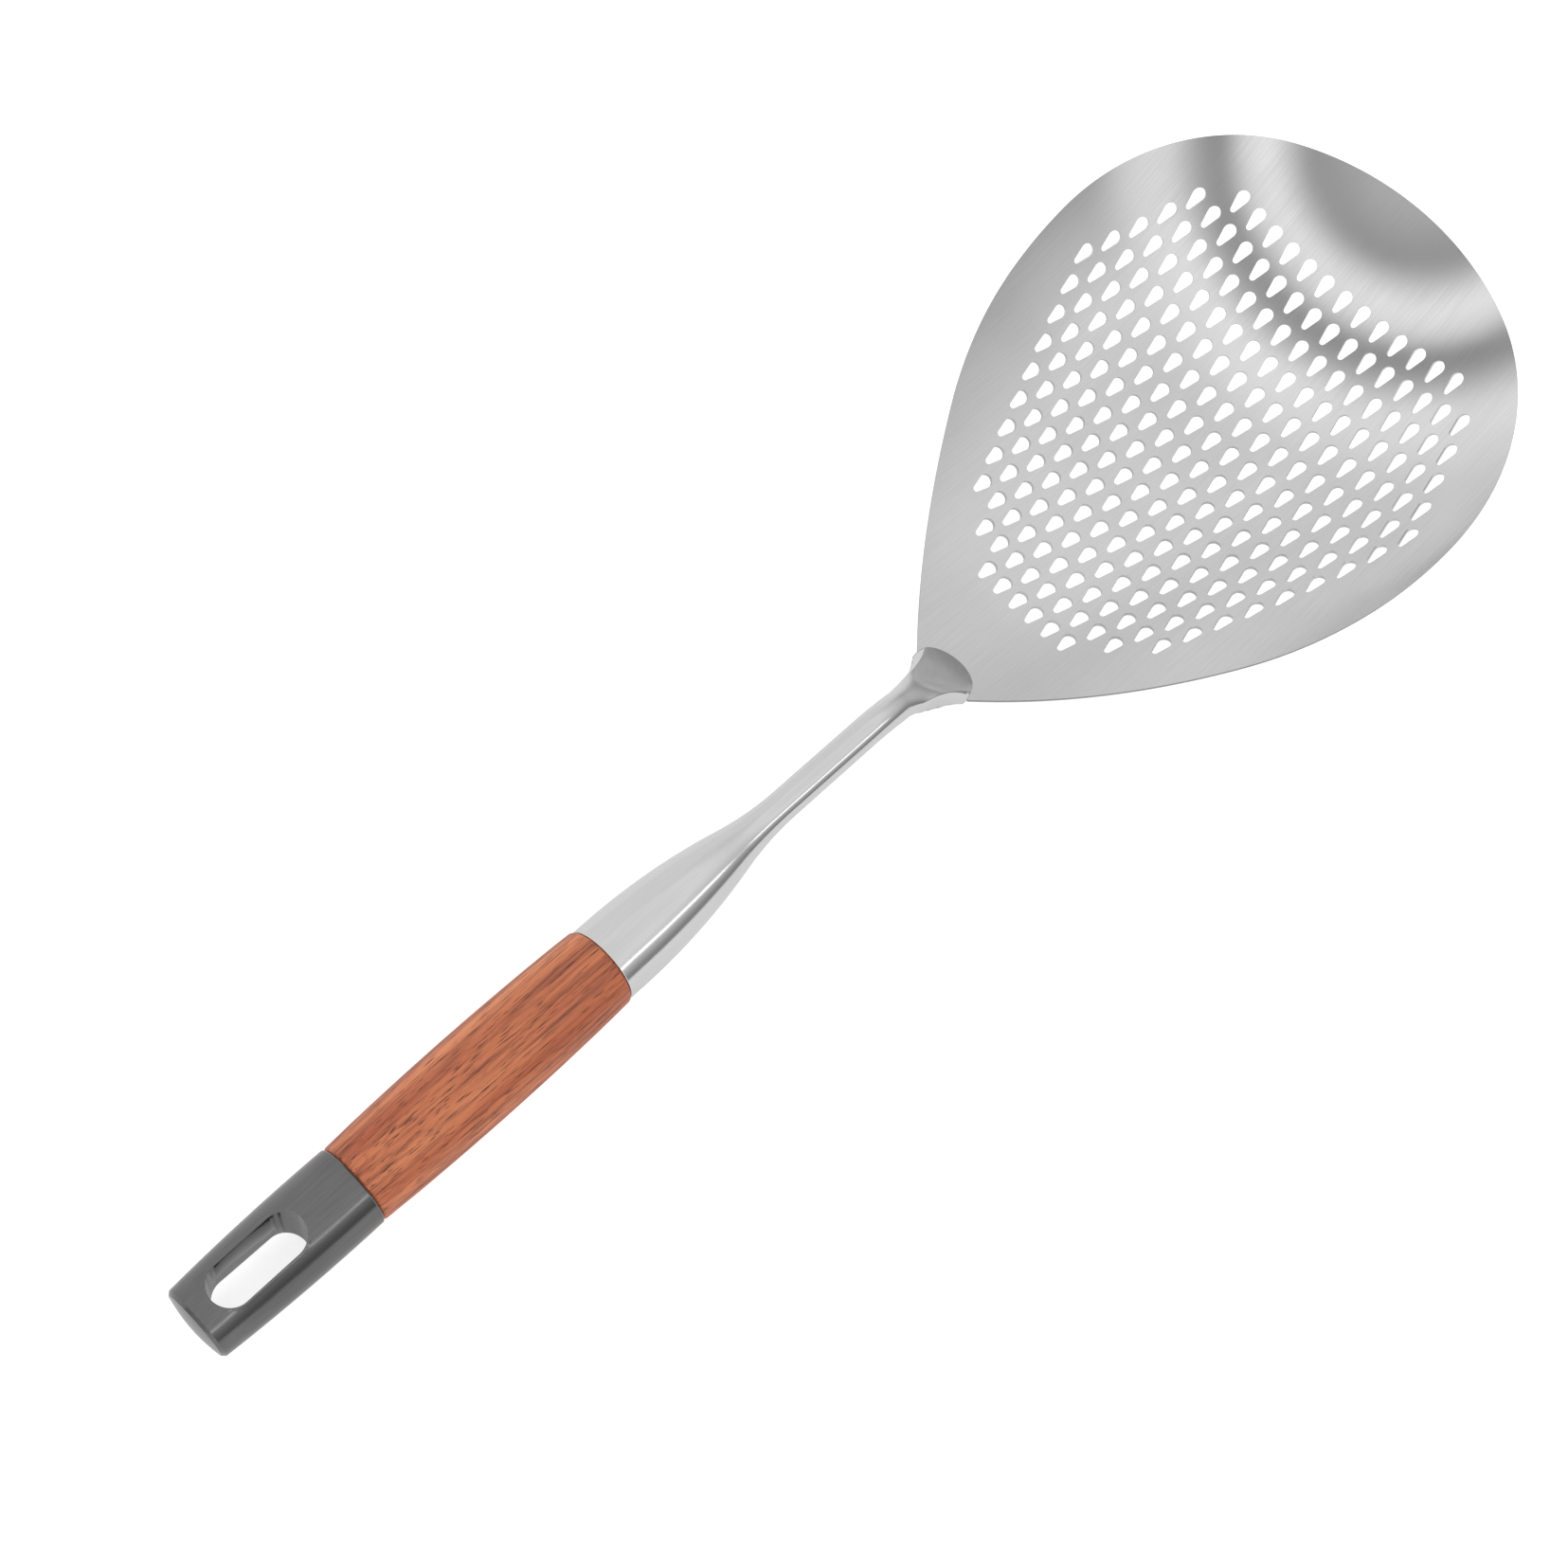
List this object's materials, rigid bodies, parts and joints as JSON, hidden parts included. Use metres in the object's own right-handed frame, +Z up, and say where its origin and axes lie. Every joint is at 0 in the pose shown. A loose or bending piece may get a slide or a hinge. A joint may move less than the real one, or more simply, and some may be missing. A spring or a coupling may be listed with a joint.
{
  "type": "perforated scoop",
  "caption": "Hand-held perforated steel scoop: shallow egg-shaped bowl with teardrop holes, slender swaged neck, turned wooden grip and steel tail with a hanging slot",
  "frame": {"origin": "on the table the scoop lies on, in the middle of its length and width", "axes": "+Z up out of the open bowl, +Y along the scoop from tail to bowl tip, +X across the bowl"},
  "size_m": [0.151, 0.4571, 0.0626],
  "materials": {
    "steel": "satin-brushed stainless steel",
    "tail_steel": "brushed stainless steel",
    "weld": "weld metal left as laid",
    "inner_steel": "plain steel, hidden inside the handle",
    "wood": "oiled reddish hardwood, satin"
  },
  "bodies": {
    "root": {"bowl": "steel", "neck_tube": "steel", "neck_weld": "weld", "ferrule_disc": "inner_steel", "anchor_nut": "inner_steel", "tie_rod": "inner_steel", "wood_grip": "wood", "cap_boss": "inner_steel", "tail_cap": "tail_steel", "slot_sleeve": "tail_steel"}
  },
  "joints": []
}
